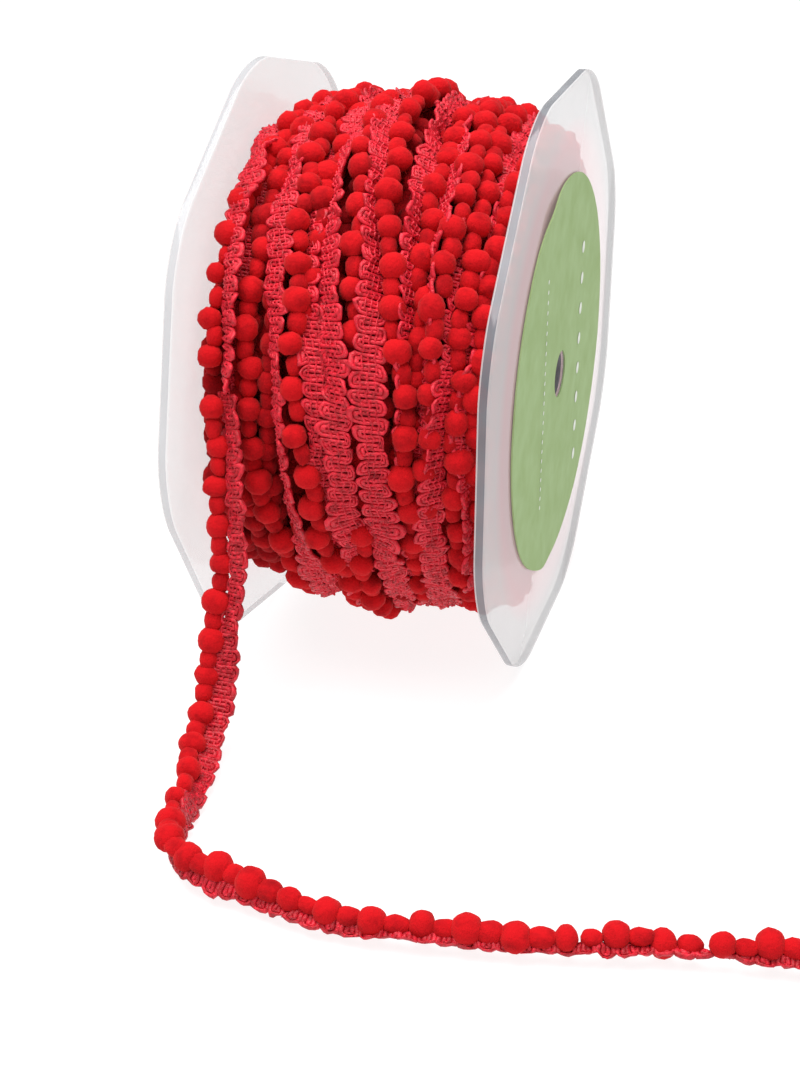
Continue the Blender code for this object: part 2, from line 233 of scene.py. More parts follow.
def make_fibre_group():
    """Short fibres or clipped pile: a fine height, and a slow change of shade."""
    group = bpy.data.node_groups.new("fibres", "ShaderNodeTree")
    for name, value in (("Fineness", 2500.0), ("Patches", 350.0)):
        socket = group.interface.new_socket(name, in_out="INPUT", socket_type="NodeSocketFloat")
        socket.default_value = value
    for name in ("Height", "Shade"):
        group.interface.new_socket(name, in_out="OUTPUT", socket_type="NodeSocketFloat")
    inside = group.nodes
    given, result = inside.new("NodeGroupInput"), inside.new("NodeGroupOutput")
    place = inside.new("ShaderNodeTexCoord")
    for number, (name, detail) in enumerate((("Fineness", 3.0), ("Patches", 2.0))):
        texture = inside.new("ShaderNodeTexNoise")
        texture.inputs["Detail"].default_value = detail
        texture.inputs["Roughness"].default_value = 0.6
        group.links.new(place.outputs["Object"], texture.inputs["Vector"])
        group.links.new(given.outputs[name], texture.inputs["Scale"])
        group.links.new(texture.outputs["Fac"], result.inputs[number])
    return group


FIBRES = make_fibre_group()


def fabric_material(name, deep, bright, roughness, fineness, patches, relief, low, high):
    """Yarn or velvet: fibres in relief, and a colour that wanders between two reds."""
    material, nodes, links, shader = new_material(name, bright, roughness)
    fibres = nodes.new("ShaderNodeGroup")
    fibres.node_tree = FIBRES
    fibres.inputs["Fineness"].default_value = fineness
    fibres.inputs["Patches"].default_value = patches
    # The shade attribute adds each piece's own tone, and the painted light and shade set on some
    # pieces.
    own = nodes.new("ShaderNodeAttribute")
    own.attribute_name = "shade"
    mixed = nodes.new("ShaderNodeMath")
    mixed.operation = "ADD"
    links.new(fibres.outputs["Shade"], mixed.inputs[0])
    links.new(own.outputs["Fac"], mixed.inputs[1])
    ramp = nodes.new("ShaderNodeValToRGB")
    ramp.color_ramp.elements[0].position = low
    ramp.color_ramp.elements[0].color = (*deep, 1.0)
    ramp.color_ramp.elements[1].position = high
    ramp.color_ramp.elements[1].color = (*bright, 1.0)
    links.new(mixed.outputs[0], ramp.inputs["Fac"])
    links.new(ramp.outputs["Color"], shader.inputs["Base Color"])
    bump = nodes.new("ShaderNodeBump")
    bump.inputs["Strength"].default_value = relief
    bump.inputs["Distance"].default_value = FIBRE_HEIGHT
    links.new(fibres.outputs["Height"], bump.inputs["Height"])
    links.new(bump.outputs["Normal"], shader.inputs["Normal"])
    return material, shader


velvet, shader = fabric_material("velvet", VELVET_DEEP_RED, VELVET_RED, 0.95,
                                 fineness=1700.0, patches=420.0, relief=0.9, low=0.2, high=0.62)
shader.inputs["Specular IOR Level"].default_value = 0.15
shader.inputs["Sheen Weight"].default_value = 0.16
shader.inputs["Sheen Roughness"].default_value = 0.45
shader.inputs["Sheen Tint"].default_value = (1.0, 0.25, 0.22, 1.0)
yarn, shader = fabric_material("braid_yarn", YARN_DEEP_RED, YARN_RED, 0.46,
                               fineness=2400.0, patches=900.0, relief=0.8, low=0.34, high=0.58)
shader.inputs["Specular IOR Level"].default_value = 0.4
shader.inputs["Sheen Weight"].default_value = 0.08
shader.inputs["Sheen Tint"].default_value = (1.0, 0.3, 0.38, 1.0)


def unit(rows):
    """Rows of vectors, each made one long."""
    return rows / np.linalg.norm(rows, axis=1)[:, None]


def add_thread(curve, places, radius):
    """One thread through a list of places."""
    thread = curve.splines.new("POLY")
    thread.points.add(len(places) - 1)
    for point, spot in zip(thread.points, places):
        point.co = (*spot, 1.0)
        point.radius = radius / STRAND_RADIUS
    thread.use_smooth = True


def crochet(repeats, plumpness=1.0):
    """A flat length of braid along X: the weft that loops across it, and its binding chains."""
    thickness, apart = STRAND_RADIUS * plumpness, STRAND_APART * plumpness
    curve = bpy.data.curves.new("braid", "CURVE")
    curve.dimensions = "3D"
    curve.bevel_depth = STRAND_RADIUS
    curve.bevel_resolution = 1
    step = np.arange(repeats * WEFT_STEPS + 1)
    turn = 2 * math.pi * step / WEFT_STEPS
    swing = np.tanh(WEFT_SQUARE * np.sin(turn)) / math.tanh(WEFT_SQUARE)
    reach = BRAID_HALF - thickness - apart
    along = (step / WEFT_STEPS + WEFT_SLANT * np.sin(2 * turn)) * LOOP_PITCH
    weft = np.stack([along, swing * reach, np.zeros_like(along)], axis=1)
    ahead = unit(np.gradient(weft, axis=0))
    beside = np.stack([-ahead[:, 1], ahead[:, 0], np.zeros_like(along)], axis=1)
    for shift in (-apart, apart):
        add_thread(curve, weft + beside * shift, thickness)
    for row in CHAIN_ROWS:
        chain = []
        for link in range(repeats * CHAIN_STEPS + 1):
            sway = CHAIN_SWAY if link % CHAIN_STEPS < CHAIN_STEPS / 2 else -CHAIN_SWAY
            height = CHAIN_OVER if link % 2 == 0 else CHAIN_UNDER
            chain.append((link * LOOP_PITCH / CHAIN_STEPS, row + sway, height))
        add_thread(curve, chain, CHAIN_RADIUS)
    strand = bpy.data.objects.new("braid", curve)
    bpy.context.scene.collection.objects.link(strand)
    ready = strand.evaluated_get(bpy.context.evaluated_depsgraph_get())
    mesh = bpy.data.meshes.new_from_object(ready)
    bpy.data.objects.remove(strand)
    return mesh


def wander(chance, places, spacing, amount):
    """A value that changes slowly and by chance along a row of places."""
    given = chance.normal(0.0, amount, int(places.max() / spacing) + 3)
    return np.interp(places / spacing + 1.0, np.arange(len(given)), given)


def lay_braid(bm, flat, middles, across, face, widths, seed):
    """Lay a flat braid along a route, its loops a little astray, and add it to a bmesh."""
    chance = np.random.default_rng(seed)
    spots = np.empty(len(flat.vertices) * 3)
    flat.vertices.foreach_get("co", spots)
    along, side, height = spots.reshape(-1, 3).T
    end = round(along.max() / LOOP_PITCH) * LOOP_PITCH
    run = np.clip(along, 0.0, None)
    free = np.clip((np.abs(side) - LOOP_NECK) / (BRAID_HALF - LOOP_NECK), 0.0, 1.0)
    left, stray = side < 0, []
    for direction in range(3):
        loops = [free * wander(chance, run, LOOP_PITCH, LOOP_STRAY) for edge in range(2)]
        stray.append(np.where(left, *loops))
    share = np.clip(along / end, 0.0, 1.0) * (len(middles) - 1)
    steps = np.arange(len(middles))
    lean = wander(chance, run, WANDER_LENGTH, WANDER_LEAN)
    drawn = np.interp(share, steps, widths)
    drawn = drawn * (1.0 + wander(chance, run, WANDER_LENGTH, WANDER_WIDTH))
    side = side * drawn + stray[0] * drawn
    side = side + wander(chance, run, WANDER_LENGTH, WANDER_SHIFT)
    knots = [wander(chance, run, KNOT_LENGTH, KNOT_HEIGHT) for number in range(4)]
    height = height + stray[1] + np.where(left, knots[0], knots[1])
    side = side + np.where(height > 0.0, knots[2], knots[3])
    side, height = (side * np.cos(lean) - height * np.sin(lean),
                    side * np.sin(lean) + height * np.cos(lean))
    share = np.clip((along + stray[2]) / end, 0.0, 1.0) * (len(middles) - 1)

    def at(rows):
        return np.stack([np.interp(share, steps, column) for column in rows.T], axis=1)

    placed = at(middles) + at(across) * side[:, None] + at(face) * height[:, None]
    laid = flat.copy()
    laid.vertices.foreach_set("co", placed.ravel())
    bm.from_mesh(laid)
    bpy.data.meshes.remove(laid)


noise.seed_set(LUMP_SEED)


def make_ball(cuts):
    """A ball of even square faces, one metre in radius, for the pompoms and the beads."""
    bm = bmesh.new()
    bmesh.ops.create_cube(bm, size=1.0)
    bmesh.ops.subdivide_edges(bm, edges=bm.edges[:], cuts=cuts, use_grid_fill=True)
    for vert in bm.verts:
        vert.co.normalize()
    mesh = bpy.data.meshes.new("ball")
    bm.to_mesh(mesh)
    bm.free()
    return mesh


def string_pompoms(bm, ball, places, alongs, radius, length_share, shade, seed):
    """Add a row of pompoms or beads: each a ball squeezed its own way, with its own shade."""
    chance = np.random.default_rng(seed)
    layer = bm.verts.layers.float.get("shade") or bm.verts.layers.float.new("shade")
    for place, along in zip(places, alongs):
        first = len(bm.verts)
        bm.from_mesh(ball)
        bm.verts.ensure_lookup_table()
        own = bm.verts[first:]
        turn = Vector(along).to_track_quat("X", "Z").to_matrix().to_4x4()
        size = radius * chance.normal(1.0, POMPOM_SIZES)
        squeeze = Matrix.Diagonal((length_share, *chance.normal(1.0, POMPOM_SQUEEZES, 2), 1.0))
        drift = Vector(chance.normal(0.0, POMPOM_DRIFT * radius, 3))
        tumble = Matrix.Rotation(chance.uniform(0.0, math.pi), 4, "X")
        move = Matrix.Translation(Vector(place) + drift) @ turn @ squeeze @ tumble
        bmesh.ops.transform(bm, verts=own, matrix=move @ Matrix.Scale(size, 4))
        tone = shade + chance.normal(0.0, POMPOM_TONES)
        for vert in own:
            vert.co += noise.noise_vector(vert.co / PILE_PATCH) * PILE_UNEVENNESS
            vert[layer] = tone


def smooth_route(stations, spacing):
    """Even steps along a smooth curve through stations of a place and a side direction."""
    rows = np.array(stations)
    rows = np.vstack([2 * rows[0] - rows[1], rows, 2 * rows[-1] - rows[-2]])
    fine = []
    for before, start, end, after in zip(rows, rows[1:], rows[2:], rows[3:]):
        for part in range(CURVE_PARTS):
            t = part / CURVE_PARTS
            fine.append((start * 2 + (end - before) * t
                         + (before * 2 - start * 5 + end * 4 - after) * t ** 2
                         + (start * 3 - before - end * 3 + after) * t ** 3) / 2)
    fine = np.array(fine + [rows[-2]])
    lengths = np.linalg.norm(np.diff(fine[:, :3], axis=0), axis=1)
    gone = np.concatenate([[0.0], np.cumsum(lengths)])
    wanted = np.linspace(0.0, gone[-1], int(gone[-1] / spacing) + 1)
    return np.stack([np.interp(wanted, gone, column) for column in fine.T], axis=1), gone[-1]


route, loose_length = smooth_route(
    [[part * MM for part in station[:3]] + list(station[3:]) + [width, near * MM]
     for station, width, near in zip(LOOSE_END, LOOSE_WIDTHS, LOOSE_NEAR_EDGES)], LOOSE_STEP)
line, side, widths, near_edges = route[:, :3], route[:, 3:6], route[:, 6], route[:, 7]
along = unit(np.gradient(line, axis=0))
side = unit(side - along * np.sum(along * side, axis=1)[:, None])
face = np.cross(side, along)
braid_line = line - side * (near_edges + BRAID_HALF * widths)[:, None]

flat_loose = crochet(int(loose_length / LOOP_PITCH), LOOSE_PLUMPNESS)
bm = bmesh.new()
lay_braid(bm, flat_loose, braid_line, side, face, widths, seed=3)
# the loose end's braid is painted deeper than the wound braids: painted shade
layer = bm.verts.layers.float.new("shade")
for vert in bm.verts:
    vert[layer] = LOOSE_BRAID_PAINTED_SHADE
loose_braid = add_piece("loose_end_braid_yarn", bm, yarn)
fine_ball = make_ball(cuts=4)


def pompoms_on_line(bm, ball, line, along, spots, shade, seed, inward=0.0):
    """String pompoms at given distances along a line, with a bead between each two."""
    spots = np.asarray(spots)
    gone = np.concatenate([[0.0], np.cumsum(np.linalg.norm(np.diff(line, axis=0), axis=1))])
    between = (spots[1:] + spots[:-1]) / 2
    # each bead is painted darker than its pompoms: painted shade, as it lies deeper
    for wanted, route, radius, share, tone in (
            (spots, line, POMPOM_RADIUS, POMPOM_LENGTH_SHARE, shade),
            (between, line + inward, BEAD_RADIUS, BEAD_LENGTH_SHARE, shade - BEAD_PAINTED_SHADE)):
        places = np.stack([np.interp(wanted, gone, column) for column in route.T], axis=1)
        heads = np.stack([np.interp(wanted, gone, column) for column in along.T], axis=1)
        string_pompoms(bm, ball, places, heads, radius, share, tone, seed)


bm = bmesh.new()
# the loose end's pompoms are painted brighter: painted light
pompoms_on_line(bm, fine_ball, line, along, np.array(LOOSE_POMPOMS) * MM,
                LOOSE_POMPOM_PAINTED_LIGHT, seed=4)
loose_pompoms = add_piece("loose_end_velvet", bm, velvet)
for piece, node, slot in ((loose_braid, "loose_end_braid", "braid_yarn"),
                          (loose_pompoms, "loose_end_pompoms", "pompom_velvet")):
    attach(piece, "root")
    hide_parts(node)

# The winding: ten turns of the trim lie side by side over the older turns, pressed together,
# some flat and some on edge. In most the braid lies left of its pompoms; in the last turn the
# trim turns over above the front, and from there the braid lies right of them.
# Places round the roll, in degrees: 90 is the top and 0 faces the viewer.
PLACES = (90.0, 65.0, 40.0, 15.0, -10.0, -35.0, -90.0, -180.0)
SOFTEN = (-10.0, -5.0, 0.0, 5.0, 10.0)    # degrees that a turn's values are averaged over
POMPOMS_PER_TURN = 41
LOOPS_PER_TURN = 102
TURN_STEPS = 240
BRAID_DROP = 2.0 * MM                     # the braid's middle under the pompoms' tops
PLATE_FACES = (-27.5 * MM, 26.8 * MM)     # the inner faces of the plates, along X
BEAD_SINK = 0.7 * MM                      # how much deeper than a pompom a bead lies
TURN_LENGTH = 310.0 * MM                  # round the roll
SWAY_LENGTH = 9.0 * MM                    # between places where the pompoms lean another way
POMPOM_SWAY = 0.55 * MM
ALONG_SPOOL = np.array([1.0, 0.0, 0.0])
POMPOM_LIMIT = 24.5 * MM                  # where a pompom's middle is when it meets a plate
WOUND_POMPOM_SHADE = 0.08
Girth = namedtuple("Girth", "x radius")                         # mm
GIRTHS = (Girth(-27.0, 47.9), Girth(-17.5, 49.1), Girth(-8.8, 50.6), Girth(0.0, 52.3),
          Girth(8.8, 51.0), Girth(17.5, 49.1), Girth(27.0, 46.2))
GIRTH_SAMPLES = 109
GIRTH_SOFTEN = 6                          # samples to either side
# Each turn in mm along the spool, in degrees of tilt and in mm of lift, at those places.
Turn = namedtuple("Turn", "name braid tilt braid_lift pompoms pompom_lift first_pompom")
TURNS = (
    Turn("b",
         (-20.5, -20.3, -20.5, -20.0, -18.6, -16.2, -18.0, -20.5),
         (20, 30, 30, 40, 40, 30, 20, 20),
         (-3.4, -3.0, -3.6, -3.8, -5.2, -6.4, -6.4, -2.8),
         (-17.4, -18.0, -17.8, -16.8, -15.0, -12.0, -14.5, -17.0),
         (-0.6, -2.2, -2.4, -2.0, -1.4, -1.0, -1.9, -0.6), 2.0),
    Turn("c",
         (-16.2, -15.4, -13.6, -10.6, -8.6, -6.0, -10.0, -15.0),
         (25, -45, -25, -50, -55, -10, 20, 20),
         (0.0, 0.0, -0.4, -0.4, -0.4, -0.8, -3.0, 0.0),
         (-12.4, -12.2, -9.9, -7.2, -3.7, 0.5, -5.6, -11.0),
         (1.0, 0.5, 0.3, 0.3, -0.2, -1.4, -2.4, 0.2), 6.0),
    Turn("d",
         (-11.0, -10.4, -8.6, -2.6, -2.0, -2.6, -6.0, -10.0),
         (30, -40, -50, 5, 10, 30, 20, 20),
         (-3.0, -2.0, -2.0, -1.0, -1.4, -3.6, -3.5, -3.0),
         (-8.6, -8.4, -7.6, -6.0, -5.0, -2.0, -3.0, -7.0),
         (-2.0, -1.2, -1.6, -4.2, -4.6, -3.0, -3.0, -3.0), 1.0),
    Turn("e",
         (-9.0, -6.6, -4.0, 1.7, 2.6, 2.0, -3.0, -8.0),
         (10, -50, -60, 5, 0, 40, 20, 15),
         (0.0, -0.6, -0.8, -0.2, -0.2, -2.8, -2.0, 0.0),
         (-5.0, -3.2, 0.6, 3.0, 3.4, 4.0, 0.8, -3.6),
         (0.4, 1.0, 0.5, -4.0, -4.0, -1.0, -0.6, 0.4), 4.0),
    Turn("f",
         (-2.5, -0.2, 4.2, 7.2, 8.2, 8.4, 6.0, 0.0),
         (0, 58, 64, 0, 12, 20, 20, 10),
         (0.2, 0.0, -0.2, 0.5, 0.1, -1.4, -3.6, 0.0),
         (1.5, 2.8, 7.2, 12.7, 12.6, 12.7, 9.0, 4.4),
         (1.2, 0.4, 0.0, -0.4, -0.8, -2.0, -3.2, 0.0), 0.0),
    Turn("h",
         (6.5, 8.3, 10.7, 12.4, 13.0, 14.0, 11.0, 7.5),
         (20, 55, 72, 66, 40, 30, 20, 30),
         (-1.8, -0.6, -0.8, -1.6, -3.2, -3.2, -2.0, -1.0),
         (10.5, 11.6, 13.2, 13.8, 9.0, 8.0, 12.0, 10.5),
         (-0.4, -0.5, -1.0, -2.4, -4.0, -4.0, -2.0, -0.5), 3.0),
    Turn("i",
         (11.0, 13.2, 14.4, 15.0, 14.6, 13.0, 11.0, 10.0),
         (-50, -58, -60, -50, 40, 30, 30, -40),
         (-0.6, -0.8, -1.0, -2.0, -3.0, -3.2, -2.0, -0.8),
         (14.0, 15.6, 16.5, 16.8, 16.4, 16.4, 14.8, 13.2),
         (1.4, 1.2, 0.8, 0.5, -1.4, -3.4, -0.8, 0.4), 5.0),
    Turn("j",
         (16.2, 17.4, 18.5, 19.6, 17.4, 15.8, 15.5, 16.5),
         (50, 50, 50, 62, 40, 5, 10, 40),
         (-2.0, -2.0, -2.0, -0.4, -0.1, -0.6, -2.2, -1.4),
         (18.0, 20.4, 20.3, 21.2, 21.0, 21.3, 21.0, 20.2),
         (0.6, 0.2, -0.4, 0.0, 0.3, 0.0, 0.2, 0.2), 1.5),
    Turn("l",
         (21.5, 22.6, 23.0, 23.3, 23.2, 24.0, 23.5, 22.8),
         (55, 55, 60, 62, 62, 50, 50, 50),
         (-0.6, -2.8, -3.4, -1.2, -0.3, -1.0, -1.0, -0.4),
         (24.4, 24.4, 24.4, 24.4, 24.4, 24.4, 24.4, 24.4),
         (-0.8, -0.8, -0.9, -1.0, -1.0, -1.4, -0.8, -0.8), 4.4),
)
OUTER_TURN = Turn("outer",
                  (-24.4, -23.4, -21.9, -19.4, -20.5, -21.0, -23.0, -24.4),
                  (-15, -20, -66, -62, -60, -60, 0, -10),
                  (-2.0, 0.8, 0.6, 0.7, 0.0, 0.0, -5.4, -1.6),
                  (-20.6, -22.3, -24.5, -24.0, -24.2, -24.0, -22.5, -20.4),
                  (0.8, -1.8, 0.0, 0.0, 0.0, 0.0, -5.4, 0.4), 0.0)
OUTER_FROM, OUTER_TO = 11.0, 232.0        # degrees that the outer turn covers, over the back
OUTER_FIRST_POMPOM = 4.6 * MM
OUTER_POMPOMS = 25


def on_the_roll(x, radius, angles):
    """Places round the roll, from metres along the spool, metres from its axis and degrees."""
    turned = np.radians(angles)
    return np.stack([MIDDLE_X + x, -radius * np.cos(turned),
                     AXIS_HEIGHT + radius * np.sin(turned)], axis=1)


def eased(values, angles):
    """A turn's values in between its places, run together softly."""
    parts = [np.interp(angles + shift, PLACES, values, period=360.0) for shift in SOFTEN]
    return sum(parts) / len(parts)


def girth_at(x):
    """Outer radius of the roll over its pompoms, in metres, at a place along the spool."""
    spots, radii = zip(*GIRTHS)
    fine = np.linspace(spots[0], spots[-1], GIRTH_SAMPLES)
    rough = np.pad(np.interp(fine, spots, radii), GIRTH_SOFTEN, mode="edge")
    window = 2 * GIRTH_SOFTEN + 1
    soft = np.convolve(rough, np.ones(window) / window, mode="valid")
    return np.interp(x / MM, fine, soft) * MM


def braid_route(turn, angles):
    """The braid's middle line in a turn, its across direction and its face direction."""
    x = eased(turn.braid, angles) * MM
    radius = girth_at(x) + eased(turn.braid_lift, angles) * MM - BRAID_DROP
    tilt = np.radians(eased(turn.tilt, angles))[:, None]
    turned = np.radians(angles)
    out = np.stack([np.zeros_like(turned), -np.cos(turned), np.sin(turned)], axis=1)
    across = np.cos(tilt) * ALONG_SPOOL - np.sin(tilt) * out
    face = np.sin(tilt) * ALONG_SPOOL + np.cos(tilt) * out
    return on_the_roll(x, radius, angles), across, face


def pompom_route(turn, angles):
    """The line of a turn's pompoms, and the direction along it."""
    x = np.clip(eased(turn.pompoms, angles) * MM, -POMPOM_LIMIT, POMPOM_LIMIT)
    radius = girth_at(x) + eased(turn.pompom_lift, angles) * MM - POMPOM_RADIUS
    line = on_the_roll(x, radius, angles)
    return line, unit(np.gradient(line, axis=0))


def keep_between_plates(bm):
    """Flatten whatever reaches a plate against it, as the pressed trim is."""
    for vert in bm.verts:
        vert.co.x = min(max(vert.co.x, PLATE_FACES[0]), PLATE_FACES[1])


full_turn = np.linspace(90.0, -270.0, TURN_STEPS + 1)
outer_turn = np.linspace(OUTER_FROM, OUTER_TO, TURN_STEPS)
full_run = np.linspace(0.0, 1.0, len(full_turn)) * TURN_LENGTH
ball = make_ball(cuts=2)
flat_turn = crochet(LOOPS_PER_TURN)
flat_outer = crochet(int(LOOPS_PER_TURN * (OUTER_TO - OUTER_FROM) / 360.0))
groups = (("left", TURNS[:3]), ("middle", TURNS[3:6]), ("right", TURNS[6:]))
pompom_bm = bmesh.new()
for number, (name, turns) in enumerate(groups):
    bm = bmesh.new()
    for seed, turn in enumerate(turns, start=10 * number):
        chance = np.random.default_rng(seed + 300)
        middles, across, face = braid_route(turn, full_turn)
        lay_braid(bm, flat_turn, middles, across, face, np.ones(len(middles)), seed)
        line, along = pompom_route(turn, full_turn)
        length = float(np.sum(np.linalg.norm(np.diff(line, axis=0), axis=1)))
        numbers = np.arange(POMPOMS_PER_TURN + 1)
        spots = turn.first_pompom * MM + numbers * length / POMPOMS_PER_TURN
        line = line + wander(chance, full_run, SWAY_LENGTH, POMPOM_SWAY)[:, None] * ALONG_SPOOL
        pompoms_on_line(pompom_bm, ball, line, along, spots, WOUND_POMPOM_SHADE, seed + 100,
                        -face * BEAD_SINK)
    keep_between_plates(bm)
    braids = add_piece("wound_braids_" + name, bm, yarn)
    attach(braids, "root")

bm = bmesh.new()
middles, across, face = braid_route(OUTER_TURN, outer_turn)
lay_braid(bm, flat_outer, middles, across, face, np.ones(len(middles)), seed=55)
keep_between_plates(bm)
outer_braid = add_piece("wound_braid_outer", bm, yarn)
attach(outer_braid, "root")
line, along = pompom_route(OUTER_TURN, outer_turn)
spots = OUTER_FIRST_POMPOM + np.arange(OUTER_POMPOMS) * POMPOM_PITCH
# the last turn's pompoms are painted brighter too: painted light
pompoms_on_line(pompom_bm, ball, line, along, spots, LOOSE_POMPOM_PAINTED_LIGHT, 56, -face * BEAD_SINK)
keep_between_plates(pompom_bm)
pompoms = add_piece("wound_velvet", pompom_bm, velvet)
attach(pompoms, "root")

# The older turns: under the ten that show lie many more, of which only pompoms are seen in the
# gaps, painted dark for the shade that falls there, and rings of them pressed against the clear
# plates.
# A lumpy barrel of the same velvet, painted as dark, closes what is deeper still.
UNDER_ROWS = (-24.0, -18.7, -13.4, -8.1, -2.8, 2.5, 7.8, 13.1, 18.4, 23.7)   # mm along the spool
UNDER_DROP = 6.1 * MM                     # a pompom's middle under the girth
# Painted shade: the older turns and the barrel lie deep in the gaps and are painted darker.
UNDER_PAINTED_SHADE = -0.22
# Rings of pompoms against a plate, in mm along the spool and mm from its axis. The label
# hides all but the widest on the right.
SideRings = namedtuple("SideRings", "x radii")
SIDE_RINGS = (SideRings(-25.6, (12.0, 17.4, 22.8, 28.2, 33.6, 39.0)),
              SideRings(25.6, (36.0, 41.0)))
# Painted shade: the rings lie deep against the plates and are painted darker.
SIDE_PAINTED_SHADE = -0.12
PHASES = 3                                # rows start their pompoms at one of three places
BARREL_DROP = 7.7 * MM                    # its surface under the girth
BARREL_FACE = 26.0 * MM                   # from the spool's middle
BARREL_ROWS = 28
BARREL_STEPS = 96
BARREL_LUMP = 3.0 * MM                    # how wide its lumps are
BARREL_LUMP_HEIGHT = 0.6 * MM
BARREL_SMOOTH_TO = 20.0 * MM              # no lumps near the core
CORE_CLEAR = 7.6 * MM

bm = bmesh.new()
for number, x in enumerate(UNDER_ROWS):
    place = np.full_like(full_turn, x) * MM
    line = on_the_roll(place, girth_at(place) - UNDER_DROP, full_turn)
    along = unit(np.gradient(line, axis=0))
    length = float(np.sum(np.linalg.norm(np.diff(line, axis=0), axis=1)))
    spots = (number % PHASES / PHASES + np.arange(POMPOMS_PER_TURN)) * length / POMPOMS_PER_TURN
    pompoms_on_line(bm, ball, line, along, spots, UNDER_PAINTED_SHADE, 200 + number)
for side_number, rings in enumerate(SIDE_RINGS):
    for number, radius in enumerate(rings.radii):
        place = np.full_like(full_turn, rings.x) * MM
        line = on_the_roll(place, np.full_like(full_turn, radius) * MM, full_turn)
        along = unit(np.gradient(line, axis=0))
        length = 2 * math.pi * radius * MM
        count = round(length / POMPOM_PITCH)
        spots = (number % PHASES / PHASES + np.arange(count)) * length / count
        pompoms_on_line(bm, ball, line, along, spots, SIDE_PAINTED_SHADE, 230 + 10 * side_number + number)
keep_between_plates(bm)
under = add_piece("older_turns_velvet", bm, velvet)
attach(under, "root")

bm = bmesh.new()
layer = bm.verts.layers.float.new("shade")
spots = [(x * MM, float(girth_at(np.array([x * MM]))[0]) - BARREL_DROP)
         for x in np.linspace(-BARREL_FACE / MM, BARREL_FACE / MM, BARREL_ROWS)]
spots = [(-BARREL_FACE, CORE_CLEAR)] + spots + [(BARREL_FACE, CORE_CLEAR)]
ring = [bm.verts.new((MIDDLE_X + x, 0.0, AXIS_HEIGHT + radius)) for x, radius in spots]
edges = [bm.edges.new((a, b)) for a, b in zip(ring, ring[1:] + ring[:1])]
bmesh.ops.spin(bm, geom=ring + edges, cent=(0.0, 0.0, AXIS_HEIGHT), axis=(1.0, 0.0, 0.0),
               angle=2 * math.pi, steps=BARREL_STEPS, use_merge=True)
bmesh.ops.recalc_face_normals(bm, faces=bm.faces)
# The barrel is painted as dark as the older pompoms: painted shade.
for vert in bm.verts:
    vert[layer] = UNDER_PAINTED_SHADE
    if math.hypot(vert.co.y, vert.co.z - AXIS_HEIGHT) > BARREL_SMOOTH_TO:
        vert.co += noise.noise_vector(vert.co / BARREL_LUMP) * BARREL_LUMP_HEIGHT
barrel = add_piece("older_turns_barrel", bm, velvet)
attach(barrel, "root")
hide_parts("wound_trim")

# The spool's plates: two flat octagons with rounded corners, moulded in clear plastic with a
# faint milky bloom. Their polished rims are painted blue-grey for the light they gather, the
# left one paler, as it is seen against the white.
PLATE_APOTHEM = 54.6 * MM
PLATE_CORNER_RADIUS = 23.0 * MM
PLATE_SIDES = 8
PLATE_CORNER_STEPS = 10
PLATE_THICKNESS = 2.0 * MM
PLATE_EDGE_ROUND = 0.35 * MM
BORE_RADIUS = 4.5 * MM
PLATE_WHITE = (0.635, 0.62, 0.63)
PLATE_CLOUD = (0.59, 0.575, 0.585)
PLATE_ALPHA = 0.56                        # the bloom hides about half of what lies behind
FAR_PLATE_ALPHA = 0.32                    # the left plate is clearer
PLATE_PAINTED_GLOW = (0.97, 1.0, 1.0)             # painted light: a glow for light passed on from behind
PLATE_PAINTED_GLOW_STRENGTH = 0.10
PLATE_PAINTED_BLUSH = (0.78, 0.50, 0.53)          # painted light: the lit trim seen through the bloom
PAINTED_BLUSH_FROM = 44.0 * MM                    # from the axis
PAINTED_BLUSH_TO = 48.5 * MM
RIM_PAINTED_GREY = (0.24, 0.255, 0.285)
RIM_PAINTED_DARK = (0.10, 0.11, 0.13)
RIM_ALPHA = 0.8
# Painted light: the left plate's rim is painted paler, as it is seen against the white.
FAR_RIM_PAINTED_GREY = (0.50, 0.51, 0.53)
FAR_RIM_PAINTED_DARK = (0.38, 0.39, 0.41)
FAR_RIM_ALPHA = 0.6
MIX_FIRST, MIX_SECOND, MIX_RESULT = 6, 7, 2      # the colour sockets of a Mix node


def plastic_material(name, colour, clouded, alpha):
    """Clear plastic with a faint milky bloom that comes and goes over it."""
    material, nodes, links, shader = new_material(name, colour, 0.1)
    bloom = nodes.new("ShaderNodeGroup")
    bloom.node_tree = FIBRES
    bloom.inputs["Fineness"].default_value = 900.0
    bloom.inputs["Patches"].default_value = 45.0
    tint = nodes.new("ShaderNodeValToRGB")
    tint.color_ramp.elements[0].position = 0.3
    tint.color_ramp.elements[0].color = (*clouded, 1.0)
    tint.color_ramp.elements[1].position = 0.7
    tint.color_ramp.elements[1].color = (*colour, 1.0)
    links.new(bloom.outputs["Shade"], tint.inputs["Fac"])
    links.new(tint.outputs["Color"], shader.inputs["Base Color"])
    gloss = nodes.new("ShaderNodeMapRange")
    gloss.inputs["To Min"].default_value = 0.05
    gloss.inputs["To Max"].default_value = 0.22
    links.new(bloom.outputs["Height"], gloss.inputs["Value"])
    links.new(gloss.outputs["Result"], shader.inputs["Roughness"])
    shader.inputs["Alpha"].default_value = alpha
    return material, shader


plastic, shader = plastic_material("clear_plastic", PLATE_WHITE, PLATE_CLOUD, PLATE_ALPHA)
nodes, links = plastic.node_tree.nodes, plastic.node_tree.links
